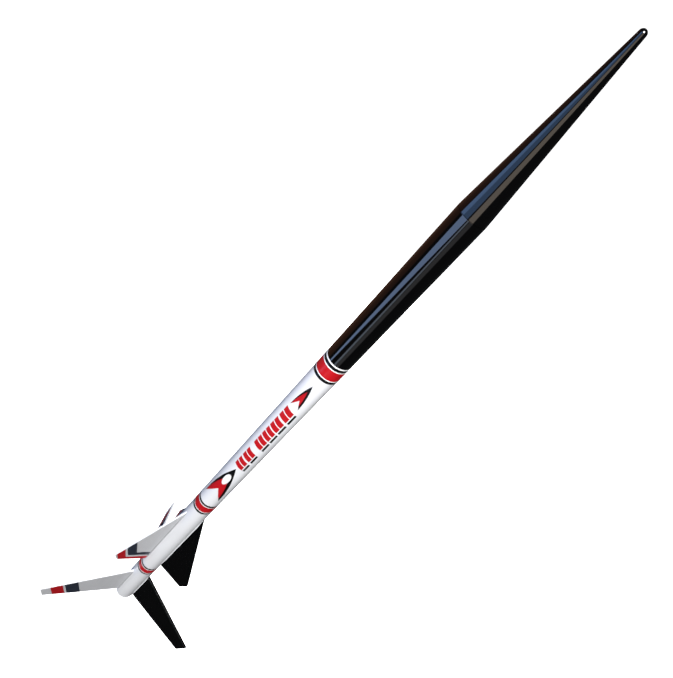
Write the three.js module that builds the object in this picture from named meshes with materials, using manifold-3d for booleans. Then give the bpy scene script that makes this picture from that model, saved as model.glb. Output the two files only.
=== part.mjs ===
import * as THREE from 'three';
import { mergeVertices } from 'three/addons/utils/BufferGeometryUtils.js';
import Module from 'manifold-3d';

const wasm = await Module();
wasm.setup();

// A long model rocket with two sets of three fins, in millimetres. Its axis is +Z with the nose up,
// and z = 0 is the tail end of the body tube. Angles go round the axis from +X towards +Y.

// ---- Driving dimensions -------------------------------------------------------------------------

const SIDES = 48; // sides of every round part on the axis, so that nested parts stay parallel
const LUG_SIDES = 24;
const GLUE = 0.25; // glue line between parts that touch
const FIT = 0.15; // radial clearance of a part inside a tube

// Airframe: three lengths of 34 mm paper tube, joined by two couplers.
const TUBE_OUTER = 16.85;
const TUBE_INNER = 16.3;
const LOWER_JOINT = 379;
const UPPER_JOINT = 735;
const BODY_TOP = 978;
const COUPLER_LENGTH = 60;
const COUPLER_WALL = 0.6;

// Nose: a blow-moulded straight cone with a small round tip, and a shoulder that slips into the tube.
const NOSE_TIP = 1168;
const NOSE_TIP_RADIUS = 3.6;
const NOSE_WALL = 1.4;
const SHOULDER_LENGTH = 32;
const BASE_THICKNESS = 2;
const BASE_PLUG_DEPTH = 6;
const EYELET_INNER = 3.2;
const EYELET_WIRE = 2.4;
const EYELET_LEG = 4;

// Fins: flat sheets glued on the tube, each outlined by its root, its tip and two straight edges.
const FIN_ANGLES = [90, 330, 210];
const FIN_THICKNESS = 3.2;
const AFT_FIN = { rootTrail: 9, rootLead: 96, tipLead: 64, tipTrail: 33, leadRadius: 152, trailRadius: 143 };
const FORWARD_FIN = { rootTrail: 156, rootLead: 340, tipLead: 187, tipTrail: 168, leadRadius: 74, trailRadius: 66 };

// Launch lugs for a 4.8 mm rod, on the line halfway between two fins.
const LUG_ANGLE = 150;
const LUG_BORE = 2.55;
const LUG_OUTER = 3.05;
const LUG_LENGTH = 50;
const LUG_STARTS = { launch_lug_aft: 20, launch_lug_forward: 420 };

// Engine mount for a 24 mm engine.
const MOUNT_OUTER = 12.4;
const MOUNT_INNER = 12.05;
const MOUNT_START = 6;
const MOUNT_END = 101;
const RING_THICKNESS = 6;
const AFT_RING_START = 12;
const FORWARD_RING_START = 86;
const RETAINER_START = 58;
const RETAINER_OUTER = 14.6;
const BLOCK_START = 72;
const BLOCK_INNER = 9.5;

// Engine hook: a steel strip along the mount tube, with a tab over each end of the engine.
const HOOK_ANGLE = 270;
const HOOK_WIDTH = 3.2;
const HOOK_THICKNESS = 0.6;
const HOOK_LINE = 13; // radius of the middle of the strip
const HOOK_TOP = 71.3;
const HOOK_TOP_REACH = 10.8;
const HOOK_BOTTOM = -0.1;
const HOOK_BOTTOM_REACH = 10;
const HOOK_FINGER = { radius: 11, z: -3.6 };
const HOOK_PLAY = 0.4; // room round the strip in the slots that it passes
const HOOK_SWING = 2.6; // how far the strip's free end springs outwards

// Engine: a paper casing with a clay nozzle, three pressed charges and an end cap.
const ENGINE_START = 0.5;
const ENGINE_LENGTH = 70;
const CASING_OUTER = 11.9;
const CASING_INNER = 9.5;
const NOZZLE_START = 1;
const NOZZLE_END = 11;
const NOZZLE_EXIT = 4.6;
const NOZZLE_THROAT = 1.8;
const NOZZLE_FLARE = 6.5;
const GRAIN_CORE = 2;
const GRAIN_CORE_DEPTH = 8;
const PROPELLANT_END = 52;
const DELAY_END = 60;
const EJECTION_END = 66;
const END_CAP_END = 69;

// Recovery gear in the upper tube.
const WADDING_START = 767;
const WADDING_END = 787;
const WADDING_RADIUS = 15.9;
const PARACHUTE_START = 792;
const PARACHUTE_END = 912;
const PARACHUTE_RADIUS = 13.2;
const ANCHOR_START = 897;
const ANCHOR_END = 935;
const ANCHOR_THICKNESS = 1.1;
const ANCHOR_SPREAD = 76; // degrees of the tube wall that the anchor covers

// ---- Materials ----------------------------------------------------------------------------------

const surface = (color, roughness, metalness = 0) => ({ color, roughness, metalness });
const GLOSS_WHITE = surface(0xeceef2, 0.25);
const GLOSS_BLACK = surface(0x0b0c10, 0.2);
const BARE_PAPER = surface(0xb08a5c, 0.85);
const GREY_PAPER = surface(0x9a958c, 0.9);
const SPRING_STEEL = surface(0xa9adb2, 0.3, 0.9);
const CASING_PAPER = surface(0x8f6b45, 0.7);
const CLAY = surface(0xb9b2a4, 0.9);
const CHARGE = surface(0x222326, 0.95);
const FILM = surface(0xd8482e, 0.4);
const TISSUE = surface(0xe9dcc0, 0.95);

// ---- Helpers ------------------------------------------------------------------------------------

const radians = (degrees) => (degrees * Math.PI) / 180;

function mesh(name, geometry, look, angle = 0) {
  const body = new THREE.Mesh(geometry, new THREE.MeshStandardMaterial(look));
  body.name = name;
  body.rotation.z = radians(angle);
  return body;
}

// Turns a closed outline of [radius, z] points round the axis. The outline runs up its outer side.
function turned(outline, sides = SIDES) {
  const closed = outline[0][0] === 0 ? outline : [...outline, outline[0]];
  const geometry = new THREE.LatheGeometry(closed.map(([r, z]) => new THREE.Vector2(r, z)), sides);
  return geometry.rotateX(Math.PI / 2);
}

const tube = (inner, outer, from, to, sides) =>
  turned([[inner, from], [outer, from], [outer, to], [inner, to]], sides);

const disc = (radius, from, to) => turned([[0, from], [radius, from], [radius, to], [0, to]]);

const outlined = (points) => new THREE.Shape(points.map(([r, z]) => new THREE.Vector2(r, z)));

// A sheet standing in the plane of the axis. Its shape's x is the radius and its y is the height z.
function upright(shape, thickness) {
  const geometry = new THREE.ExtrudeGeometry(shape, { depth: thickness, bevelEnabled: false, curveSegments: 12 });
  return geometry.translate(0, 0, -thickness / 2).rotateX(Math.PI / 2);
}

// A box from z = from to z = to, on the +X side of the axis.
function slot(innerRadius, outerRadius, width, from, to) {
  const geometry = new THREE.BoxGeometry(outerRadius - innerRadius, width, to - from);
  return geometry.translate((innerRadius + outerRadius) / 2, 0, (from + to) / 2);
}

function solid(geometry) {
  const bare = geometry.clone();
  bare.deleteAttribute('normal');
  bare.deleteAttribute('uv');
  const merged = mergeVertices(bare, 1e-4);
  const vertProperties = new Float32Array(merged.attributes.position.array);
  const corners = Array.from(merged.index.array);
  const kept = [];
  for (let i = 0; i < corners.length; i += 3) {
    const [a, b, c] = corners.slice(i, i + 3);
    if (a !== b && b !== c && c !== a) kept.push(a, b, c);
  }
  return new wasm.Manifold(new wasm.Mesh({ numProp: 3, vertProperties, triVerts: new Uint32Array(kept) }));
}

function geometryOf(shape) {
  const { vertProperties, triVerts } = shape.getMesh();
  const geometry = new THREE.BufferGeometry();
  geometry.setAttribute('position', new THREE.BufferAttribute(vertProperties, 3));
  geometry.setIndex(new THREE.BufferAttribute(triVerts, 1));
  return geometry;
}

const cut = (geometry, tool) => geometryOf(solid(geometry).subtract(solid(tool)));
const joined = (first, second) => geometryOf(solid(first).add(solid(second)));

// The outline of a strip bent along a line of [radius, z] points, with mitred corners.
function strip(line, thickness) {
  const points = line.map(([r, z]) => new THREE.Vector2(r, z));
  const sides = points.slice(1).map((end, i) => {
    const along = end.clone().sub(points[i]).normalize();
    return new THREE.Vector2(-along.y, along.x);
  });
  const offsets = points.map((point, i) => {
    const before = sides[Math.max(i - 1, 0)];
    const after = sides[Math.min(i, sides.length - 1)];
    const middle = before.clone().add(after);
    return middle.multiplyScalar(thickness / middle.dot(before) / 2);
  });
  const left = points.map((point, i) => point.clone().add(offsets[i]));
  const right = points.map((point, i) => point.clone().sub(offsets[i]));
  return [...right, ...left.reverse()].map((point) => [point.x, point.y]);
}

// ---- Airframe -----------------------------------------------------------------------------------

function bodyTubes() {
  const seam = GLUE / 2;
  return [
    mesh('lower_body_tube', tube(TUBE_INNER, TUBE_OUTER, 0, LOWER_JOINT - seam), GLOSS_WHITE),
    mesh('middle_body_tube', tube(TUBE_INNER, TUBE_OUTER, LOWER_JOINT + seam, UPPER_JOINT - seam), GLOSS_WHITE),
    mesh('upper_body_tube', tube(TUBE_INNER, TUBE_OUTER, UPPER_JOINT + seam, BODY_TOP - GLUE), GLOSS_BLACK),
  ];
}

function coupler(name, middle) {
  const outer = TUBE_INNER - FIT;
  const half = COUPLER_LENGTH / 2;
  return mesh(name, tube(outer - COUPLER_WALL, outer, middle - half, middle + half), BARE_PAPER);
}

function finSet(name, fin) {
  const root = TUBE_OUTER + GLUE;
  const outline = [
    [root, fin.rootTrail],
    [fin.trailRadius, fin.tipTrail],
    [fin.leadRadius, fin.tipLead],
    [root, fin.rootLead],
  ];
  const sheet = upright(outlined(outline), FIN_THICKNESS);
  return FIN_ANGLES.map((angle, i) =>
    mesh(`${name}_${i + 1}`, sheet.clone(), i === 0 ? GLOSS_BLACK : GLOSS_WHITE, angle));
}

function launchLugs() {
  const row = new THREE.Group();
  row.rotation.z = radians(LUG_ANGLE);
  for (const [name, start] of Object.entries(LUG_STARTS)) {
    const lug = mesh(name, tube(LUG_BORE, LUG_OUTER, start, start + LUG_LENGTH, LUG_SIDES), GLOSS_WHITE);
    lug.position.x = TUBE_OUTER + GLUE + LUG_OUTER;
    row.add(lug);
  }
  return row;
}

// ---- Engine mount -------------------------------------------------------------------------------

// A part of the mount with a slot for the hook, both built on the +X side and turned to the hook.
function slotted(name, geometry, tool, look) {
  return mesh(name, cut(geometry, tool), look, HOOK_ANGLE);
}

function mountTube() {
  const top = HOOK_TOP + HOOK_THICKNESS / 2 + HOOK_PLAY / 2;
  const bottom = HOOK_TOP - HOOK_THICKNESS / 2 - HOOK_PLAY / 2;
  const slit = slot(MOUNT_INNER - 2, MOUNT_OUTER + 2, HOOK_WIDTH + 2 * HOOK_PLAY, bottom, top);
  return slotted('engine_mount_tube', tube(MOUNT_INNER, MOUNT_OUTER, MOUNT_START, MOUNT_END), slit, BARE_PAPER);
}

function centeringRings() {
  const inner = MOUNT_OUTER + FIT;
  const outer = TUBE_INNER - FIT;
  const aftEnd = AFT_RING_START + RING_THICKNESS;
  const forwardEnd = FORWARD_RING_START + RING_THICKNESS;
  const opening = slot(inner - 2, outer + 2, HOOK_WIDTH + 2 * HOOK_PLAY, AFT_RING_START - 1, aftEnd + 1);
  return [
    slotted('centering_ring_aft', tube(inner, outer, AFT_RING_START, aftEnd), opening, GREY_PAPER),
    mesh('centering_ring_forward', tube(inner, outer, FORWARD_RING_START, forwardEnd), GREY_PAPER),
  ];
}

// A collar round the mount tube that keeps the hook's upper part against it.
function retainer() {
  const end = RETAINER_START + RING_THICKNESS;
  const swing = (HOOK_SWING * (HOOK_TOP - RETAINER_START)) / (HOOK_TOP - HOOK_BOTTOM);
  const reach = HOOK_LINE + HOOK_THICKNESS / 2 + swing + FIT;
  const groove = slot(MOUNT_OUTER - 2, reach, HOOK_WIDTH + 2 * HOOK_PLAY, RETAINER_START - 1, end + 1);
  const collar = tube(MOUNT_OUTER + FIT, RETAINER_OUTER, RETAINER_START, end);
  return slotted('hook_retaining_ring', collar, groove, GREY_PAPER);
}

function engineHook() {
  const line = [
    [HOOK_TOP_REACH, HOOK_TOP],
    [HOOK_LINE, HOOK_TOP],
    [HOOK_LINE, HOOK_BOTTOM],
    [HOOK_BOTTOM_REACH, HOOK_BOTTOM],
    [HOOK_FINGER.radius, HOOK_FINGER.z],
  ];
  const shape = outlined(strip(line, HOOK_THICKNESS));
  return mesh('engine_hook', upright(shape, HOOK_WIDTH), SPRING_STEEL, HOOK_ANGLE);
}

function engineMount() {
  const block = tube(BLOCK_INNER, MOUNT_INNER - FIT, BLOCK_START, BLOCK_START + RING_THICKNESS);
  return [mountTube(), ...centeringRings(), retainer(), mesh('engine_block', block, GREY_PAPER)];
}

// ---- Engine -------------------------------------------------------------------------------------

function engine() {
  const bore = CASING_INNER - FIT;
  const casing = tube(CASING_INNER, CASING_OUTER, ENGINE_START, ENGINE_START + ENGINE_LENGTH);
  const nozzle = turned([
    [NOZZLE_EXIT, NOZZLE_START],
    [bore, NOZZLE_START],
    [bore, NOZZLE_END],
    [NOZZLE_THROAT, NOZZLE_END],
    [NOZZLE_THROAT, NOZZLE_START + NOZZLE_FLARE],
  ]);
  const grainStart = NOZZLE_END + GLUE;
  const propellant = turned([
    [0, grainStart + GRAIN_CORE_DEPTH],
    [GRAIN_CORE, grainStart + GRAIN_CORE_DEPTH],
    [GRAIN_CORE, grainStart],
    [bore, grainStart],
    [bore, PROPELLANT_END],
    [0, PROPELLANT_END],
  ]);
  return [
    mesh('engine_casing', casing, CASING_PAPER),
    mesh('engine_nozzle', nozzle, CLAY),
    mesh('engine_propellant', propellant, CHARGE),
    mesh('engine_delay', disc(bore, PROPELLANT_END + GLUE, DELAY_END), GREY_PAPER),
    mesh('engine_ejection_charge', disc(bore, DELAY_END + GLUE, EJECTION_END), CHARGE),
    mesh('engine_end_cap', disc(bore, EJECTION_END + GLUE, END_CAP_END), CLAY),
  ];
}

// ---- Nose ---------------------------------------------------------------------------------------

// The cone's outline from its base to its tip: a straight side that meets the round tip smoothly.
function coneSide(baseRadius, baseZ, tipRadius, tipZ) {
  const centre = tipZ - tipRadius;
  const height = centre - baseZ;
  const slope = Math.atan2(baseRadius, height) - Math.asin(tipRadius / Math.hypot(baseRadius, height));
  const steps = 6;
  const side = [[baseRadius, baseZ]];
  for (let i = 0; i < steps; i += 1) {
    const angle = slope + ((Math.PI / 2 - slope) * i) / steps;
    side.push([tipRadius * Math.cos(angle), centre + tipRadius * Math.sin(angle)]);
  }
  side.push([0, tipZ]);
  return side;
}

function noseCone() {
  const shoulder = TUBE_INNER - FIT;
  const end = BODY_TOP - SHOULDER_LENGTH;
  const outside = coneSide(TUBE_OUTER, BODY_TOP, NOSE_TIP_RADIUS, NOSE_TIP);
  const hollowTip = NOSE_TIP_RADIUS - NOSE_WALL;
  const inside = coneSide(shoulder - NOSE_WALL, BODY_TOP + NOSE_WALL, hollowTip, NOSE_TIP - NOSE_WALL);
  const outline = [
    ...inside.reverse(),
    [shoulder - NOSE_WALL, end],
    [shoulder, end],
    [shoulder, BODY_TOP],
    ...outside,
  ];
  return mesh('nose_cone', turned(outline), GLOSS_BLACK);
}

// A U-shaped loop hanging from z = top, in the plane of the axis and +X.
function eyelet(top, overlap) {
  const outer = EYELET_INNER + EYELET_WIRE;
  const bend = top - EYELET_LEG;
  const shape = new THREE.Shape();
  shape.moveTo(outer, top + overlap);
  shape.lineTo(EYELET_INNER, top + overlap);
  shape.lineTo(EYELET_INNER, bend);
  shape.absarc(0, bend, EYELET_INNER, 0, -Math.PI, true);
  shape.lineTo(-EYELET_INNER, top + overlap);
  shape.lineTo(-outer, top + overlap);
  shape.lineTo(-outer, bend);
  shape.absarc(0, bend, outer, Math.PI, 2 * Math.PI, false);
  return upright(shape, EYELET_WIRE);
}

function noseBase() {
  const shoulder = TUBE_INNER - FIT;
  const plug = shoulder - NOSE_WALL - FIT;
  const top = BODY_TOP - SHOULDER_LENGTH - GLUE;
  const bottom = top - BASE_THICKNESS;
  const cup = turned([
    [0, bottom],
    [shoulder, bottom],
    [shoulder, top],
    [plug, top],
    [plug, top + BASE_PLUG_DEPTH],
    [plug - NOSE_WALL, top + BASE_PLUG_DEPTH],
    [plug - NOSE_WALL, top],
    [0, top],
  ]);
  return mesh('nose_cone_base', joined(cup, eyelet(bottom, BASE_THICKNESS / 2)), GLOSS_BLACK);
}

// ---- Recovery gear ------------------------------------------------------------------------------

// A folded paper anchor that follows the inside of the tube wall.
function cordAnchor() {
  const outer = TUBE_INNER - FIT;
  const half = radians(ANCHOR_SPREAD / 2);
  const shape = new THREE.Shape();
  shape.absarc(0, 0, outer, -half, half, false);
  shape.absarc(0, 0, outer - ANCHOR_THICKNESS, half, -half, true);
  const depth = ANCHOR_END - ANCHOR_START;
  const geometry = new THREE.ExtrudeGeometry(shape, { depth, bevelEnabled: false, curveSegments: 10 });
  return mesh('shock_cord_anchor', geometry.translate(0, 0, ANCHOR_START), TISSUE, LUG_ANGLE);
}

function recoveryGear() {
  return [
    mesh('parachute', disc(PARACHUTE_RADIUS, PARACHUTE_START, PARACHUTE_END), FILM),
    mesh('recovery_wadding', disc(WADDING_RADIUS, WADDING_START, WADDING_END), TISSUE),
    cordAnchor(),
  ];
}

// ---- Assembly -----------------------------------------------------------------------------------

const rocket = new THREE.Group();
rocket.add(...bodyTubes());
rocket.add(coupler('tube_coupler_lower', LOWER_JOINT), coupler('tube_coupler_upper', UPPER_JOINT));
rocket.add(...finSet('aft_fin', AFT_FIN), ...finSet('forward_fin', FORWARD_FIN));
rocket.add(launchLugs());
rocket.add(...engineMount(), engineHook());
rocket.add(...engine());
rocket.add(noseCone(), noseBase());
rocket.add(...recoveryGear());

export default rocket;
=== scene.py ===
"""The looks of a long two-finset model rocket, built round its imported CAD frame. Units are metres."""

import math

import bmesh
import bpy
from mathutils import Matrix, Vector, noise
from mathutils.geometry import tessellate_polygon


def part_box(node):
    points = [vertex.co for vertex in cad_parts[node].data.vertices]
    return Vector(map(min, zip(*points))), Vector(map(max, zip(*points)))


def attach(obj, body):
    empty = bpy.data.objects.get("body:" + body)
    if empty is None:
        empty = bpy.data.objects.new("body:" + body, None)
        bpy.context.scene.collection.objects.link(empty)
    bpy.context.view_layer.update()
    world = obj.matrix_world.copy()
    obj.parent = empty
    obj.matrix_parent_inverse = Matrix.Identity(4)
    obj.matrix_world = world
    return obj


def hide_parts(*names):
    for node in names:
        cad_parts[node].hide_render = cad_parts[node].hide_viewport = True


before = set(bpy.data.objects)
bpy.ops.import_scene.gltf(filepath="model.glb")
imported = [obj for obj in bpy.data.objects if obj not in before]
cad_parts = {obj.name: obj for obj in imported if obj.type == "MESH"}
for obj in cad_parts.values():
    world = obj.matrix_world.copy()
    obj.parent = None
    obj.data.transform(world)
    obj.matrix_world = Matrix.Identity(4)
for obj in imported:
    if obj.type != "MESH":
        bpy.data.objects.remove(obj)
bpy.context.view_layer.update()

MM = 0.001
ROUND = 160  # sides of a body tube
FULL_TURN = 2 * math.pi
QUARTER_TURN = math.pi / 2

# ---- Sizes, from the frame wherever a node's box can give them ----------------------------------


def span(node):
    """Lowest and highest z of a CAD node."""
    low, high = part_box(node)
    return low.z, high.z


def radius_of(node):
    """Outer radius of a round CAD node on the axis."""
    low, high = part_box(node)
    return max(high.x, high.y, -low.x, -low.y)


TUBE_R = radius_of("middle_body_tube")
TUBE_WALL = 0.55 * MM
BODY_TOP = span("upper_body_tube")[1]
NOSE_TIP = span("nose_cone")[1]
SHOULDER_R = TUBE_R - TUBE_WALL - 0.15 * MM
NOSE_WALL = 1.4 * MM

# Each kind of fin, in mm: the heights where its root and its tip start and end, and its tip's two radii.
AFT_FIN = {
    "root_trail": 9, "root_lead": 96, "tip_trail": 33, "tip_lead": 64, "trail_r": 143, "lead_r": 152,
}
FORWARD_FIN = {
    "root_trail": 156, "root_lead": 340, "tip_trail": 168, "tip_lead": 187, "trail_r": 66, "lead_r": 74,
}
FIN_ANGLES = (90, 330, 210)  # the first fin of each kind is the black one
FIN_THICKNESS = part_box("aft_fin_1")[1].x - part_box("aft_fin_1")[0].x
FIN_EDGE = 0.5 * MM  # the radius of a fin's free edges
LUG_BORE_R, LUG_R = 2.55 * MM, 3.05 * MM
LUG_ANGLE = 150
HOOK_ANGLE = 270
DECAL_ANGLE = 10  # where round the tube the long row of decals lies

# ---- Node materials -----------------------------------------------------------------------------


class Look:
    """A material made of nodes round one Principled shader."""

    def __init__(self, name, **settings):
        self.material = bpy.data.materials.new(name)
        self.material.use_nodes = True
        self.tree = self.material.node_tree
        self.shader = self.tree.nodes["Principled BSDF"]
        for socket, value in settings.items():
            self.shader.inputs[socket.replace("_", " ")].default_value = value
        self.place = self.add("ShaderNodeTexCoord").outputs["Object"]

    def add(self, kind, **settings):
        node = self.tree.nodes.new(kind)
        for key, value in settings.items():
            setattr(node, key, value)
        return node

    def feed(self, socket, source):
        """Joins an output to a socket, or sets the socket's own value."""
        if isinstance(source, bpy.types.NodeSocket):
            self.tree.links.new(source, socket)
        else:
            socket.default_value = source

    def math(self, operation, *values):
        node = self.add("ShaderNodeMath", operation=operation)
        for socket, value in zip(node.inputs, values):
            self.feed(socket, value)
        return node.outputs[0]

    def noise(self, scale, detail=3.0, stretch=(1, 1, 1), rough=0.5):
        """Noise from 0 to 1, with so many features per metre."""
        mapping = self.add("ShaderNodeMapping")
        self.feed(mapping.inputs["Vector"], self.place)
        mapping.inputs["Scale"].default_value = stretch
        node = self.add("ShaderNodeTexNoise")
        self.feed(node.inputs["Vector"], mapping.outputs[0])
        node.inputs["Scale"].default_value = scale
        node.inputs["Detail"].default_value = detail
        node.inputs["Roughness"].default_value = rough
        return node.outputs["Fac"]

    def ramp(self, source, *stops):
        """Colours along a value: each stop is (position, colour)."""
        node = self.add("ShaderNodeValToRGB")
        band = node.color_ramp
        band.elements.remove(band.elements[1])
        band.elements[0].position = stops[0][0]
        band.elements[0].color = (*stops[0][1], 1)
        for position, colour in stops[1:]:
            band.elements.new(position).color = (*colour, 1)
        self.feed(node.inputs["Fac"], source)
        return node.outputs["Color"]

    def between(self, source, low, high):
        node = self.add("ShaderNodeMapRange")
        self.feed(node.inputs["Value"], source)
        node.inputs["To Min"].default_value = low
        node.inputs["To Max"].default_value = high
        return node.outputs["Result"]

    def spiral(self, pitch, width):
        """1 on a narrow line that winds round the axis, 0 elsewhere."""
        split = self.add("ShaderNodeSeparateXYZ")
        self.feed(split.inputs[0], self.place)
        turn = self.math("ARCTAN2", split.outputs["Y"], split.outputs["X"])
        turn = self.math("DIVIDE", turn, FULL_TURN)
        phase = self.math("FRACT", self.math("ADD", self.math("DIVIDE", split.outputs["Z"], pitch), turn))
        distance = self.math("ABSOLUTE", self.math("SUBTRACT", phase, 0.5))
        return self.math("LESS_THAN", distance, width / pitch / 2)

    def colour(self, source):
        self.feed(self.shader.inputs["Base Color"], source)

    def glow(self, radiance):
        self.shader.inputs["Emission Color"].default_value = (*radiance, 1)
        self.shader.inputs["Emission Strength"].default_value = 1.0

    def roughness(self, source, low, high):
        self.feed(self.shader.inputs["Roughness"], self.between(source, low, high))

    def bump(self, *heights):
        """Adds heights, each (value from 0 to 1, metres), to the surface."""
        normal = None
        for source, height in heights:
            node = self.add("ShaderNodeBump")
            node.inputs["Strength"].default_value = 1.0
            node.inputs["Distance"].default_value = height
            self.feed(node.inputs["Height"], source)
            if normal is not None:
                self.feed(node.inputs["Normal"], normal)
            normal = node.outputs[0]
        self.feed(self.shader.inputs["Normal"], normal)


def shade(colour, factor):
    return tuple(channel * factor for channel in colour)


def lacquer(name, colour, shine=0.1, spread=0.12, coat=0.5, seams=True):
    """Sprayed gloss lacquer over sealed paper: faint orange peel, and the tube's spiral seam just shows."""
    look = Look(name, Coat_Weight=coat, Coat_Roughness=0.04, IOR=1.5)
    cloud = look.noise(14, detail=4)
    look.colour(look.ramp(cloud, (0.3, shade(colour, 0.93)), (0.7, colour)))
    look.roughness(look.noise(60), shine, shine + spread)
    heights = [(look.noise(420, detail=2), 0.000012), (look.noise(2600, detail=2), 0.000003)]
    if seams:
        heights.append((look.spiral(0.062, 0.0009), -0.00002))
    look.bump(*heights)
    return look.material


def sealed_balsa(name, colour, shine=0.34):
    """Lacquer over sanded balsa sheet: fine grain lines run along the fin's length."""
    look = Look(name, IOR=1.46)
    grain = look.noise(520, detail=5, stretch=(1, 1, 0.035), rough=0.62)
    look.colour(look.ramp(grain, (0.25, shade(colour, 0.9)), (0.6, colour)))
    look.roughness(grain, shine, shine + 0.16)
    look.bump((grain, 0.00003), (look.noise(900), 0.000006))
    return look.material


def moulded_plastic(name, colour):
    """Gloss blow-moulded plastic, with slow ripples from the mould and a few hairline scuffs."""
    look = Look(name, Coat_Weight=1.0, Coat_Roughness=0.04, IOR=1.49)
    ripple = look.noise(35, detail=2, stretch=(1, 1, 0.3))
    scuffs = look.noise(900, detail=6, stretch=(1, 1, 0.06), rough=0.75)
    look.colour(look.ramp(scuffs, (0.45, colour), (0.8, shade(colour, 1.6))))
    look.roughness(scuffs, 0.04, 0.12)
    look.bump((ripple, 0.00002), (look.noise(700), 0.000004))
    return look.material


def kraft_paper(name, colour, pitch=0.05):
    """Spiral-wound brown paper: matt, with fibres, flecks and an open seam."""
    look = Look(name, Specular_IOR_Level=0.3)
    fibres = look.noise(1500, detail=6, stretch=(1, 1, 0.25), rough=0.7)
    look.colour(look.ramp(fibres, (0.3, shade(colour, 0.62)), (0.55, colour), (0.8, shade(colour, 1.25))))
    look.roughness(fibres, 0.7, 0.95)
    look.bump((fibres, 0.00003), (look.spiral(pitch, 0.0006), -0.00012))
    return look.material


def pressed_board(name, colour):
    """Grey fibreboard with pale and dark flecks and torn-looking cut edges."""
    look = Look(name, Specular_IOR_Level=0.25)
    flecks = look.noise(2200, detail=7, rough=0.8)
    look.colour(look.ramp(flecks, (0.3, shade(colour, 0.45)), (0.5, colour), (0.75, shade(colour, 1.6))))
    look.roughness(flecks, 0.8, 1.0)
    look.bump((flecks, 0.00006), (look.noise(500), 0.00004))
    return look.material


def spring_steel(name):
    """Drawn steel strip with fine lengthwise lines and a straw-to-blue temper tint in patches."""
    look = Look(name, Metallic=1.0)
    lines = look.noise(4000, detail=3, stretch=(1, 1, 0.02))
    patches = look.noise(45, detail=2)
    blue, plain, straw = (0.50, 0.51, 0.54), (0.56, 0.55, 0.53), (0.52, 0.47, 0.38)
    look.colour(look.ramp(patches, (0.35, blue), (0.6, plain), (0.8, straw)))
    look.roughness(lines, 0.2, 0.42)
    look.bump((lines, 0.000006))
    return look.material


def pressed_powder(name, colour, coarse=1.0):
    """Dry pressed clay or powder: a matt, grainy surface with small pits."""
    look = Look(name, Specular_IOR_Level=0.2)
    grains = look.noise(2600 / coarse, detail=6, rough=0.8)
    look.colour(look.ramp(grains, (0.3, shade(colour, 0.6)), (0.55, colour), (0.8, shade(colour, 1.35))))
    look.roughness(grains, 0.85, 1.0)
    look.bump((grains, 0.00008 * coarse))
    return look.material


def thin_film(name, colour):
    """Crinkled plastic film: a waxy sheen, with light coming through."""
    look = Look(name, Subsurface_Weight=0.15, Subsurface_Scale=0.004, Coat_Weight=0.3, Coat_Roughness=0.2)
    crinkle = look.noise(260, detail=5, stretch=(1, 1, 0.3), rough=0.65)
    look.colour(look.ramp(crinkle, (0.3, shade(colour, 0.8)), (0.7, colour)))
    look.roughness(crinkle, 0.25, 0.5)
    look.bump((crinkle, 0.0009), (look.noise(1400), 0.00006))
    return look.material


def tissue(name, colour):
    """Soft crumpled tissue with an embossed crepe."""
    look = Look(name, Sheen_Weight=0.3, Specular_IOR_Level=0.15,
                Subsurface_Weight=0.1, Subsurface_Scale=0.003)
    crepe = look.noise(1700, detail=4, stretch=(1, 1, 0.4))
    look.colour(look.ramp(crepe, (0.3, shade(colour, 0.82)), (0.7, colour)))
    look.roughness(crepe, 0.85, 1.0)
    look.bump((crepe, 0.00012), (look.noise(220, detail=5), 0.0003))
    return look.material


def decal_ink(name, colour):
    """Solid printed ink under clear gloss film: an even tone with a faint screen and tiny waves."""
    look = Look(name, Coat_Weight=0.15, Coat_Roughness=0.08, IOR=1.5)
    screen = look.noise(3800, detail=2)
    look.colour(look.ramp(screen, (0.35, shade(colour, 0.9)), (0.65, colour)))
    look.roughness(look.noise(90), 0.26, 0.38)
    look.bump((look.noise(300, detail=2), 0.000008))
    return look.material


WHITE = (0.77, 0.785, 0.82)
BLACK = (0.0009, 0.0009, 0.001)
RED = (0.46, 0.006, 0.011)
NAVY = (0.022, 0.028, 0.045)
BRIGHT_WHITE = (0.84, 0.85, 0.87)

white_lacquer = lacquer("white_lacquer", WHITE)
# Grey lacquer for the glue beside the white fins: painted shade in the corner at the fin root.
painted_shade_lacquer = lacquer("painted_shade_lacquer", shade(WHITE, 0.45), shine=0.4, coat=0.0, seams=False)
black_lacquer = lacquer("black_lacquer", BLACK, shine=0.03, spread=0.04, coat=1.0, seams=False)
# The white fins' paint in two copies: greyer on the faces as painted shade, brighter on the edges as
# painted light.
shaded_white_balsa = sealed_balsa("shaded_white_balsa", shade(WHITE, 0.68))
lit_white_edge = sealed_balsa("lit_white_edge", BRIGHT_WHITE)
black_balsa = sealed_balsa("black_balsa", BLACK, shine=0.14)
black_plastic = moulded_plastic("black_plastic", BLACK)
brown_paper = kraft_paper("brown_paper", (0.42, 0.26, 0.13))
casing_paper = kraft_paper("casing_paper", (0.36, 0.22, 0.11), pitch=0.09)
casing_band = kraft_paper("casing_band", (0.10, 0.22, 0.12), pitch=0.09)
anchor_paper = kraft_paper("anchor_paper", (0.55, 0.40, 0.22), pitch=10)
grey_board = pressed_board("grey_board", (0.30, 0.28, 0.25))
hook_steel = spring_steel("hook_steel")
clay = pressed_powder("clay", (0.46, 0.43, 0.37))
black_powder = pressed_powder("black_powder", (0.03, 0.03, 0.032), coarse=1.6)
delay_powder = pressed_powder("delay_powder", (0.2, 0.19, 0.18))
red_film = thin_film("red_film", (0.70, 0.05, 0.02))
white_film = thin_film("white_film", (0.45, 0.45, 0.44))
cream_tissue = tissue("cream_tissue", (0.78, 0.70, 0.54))
red_ink = decal_ink("red_ink", RED)
black_ink = decal_ink("black_ink", BLACK)
navy_ink = decal_ink("navy_ink", NAVY)
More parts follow.
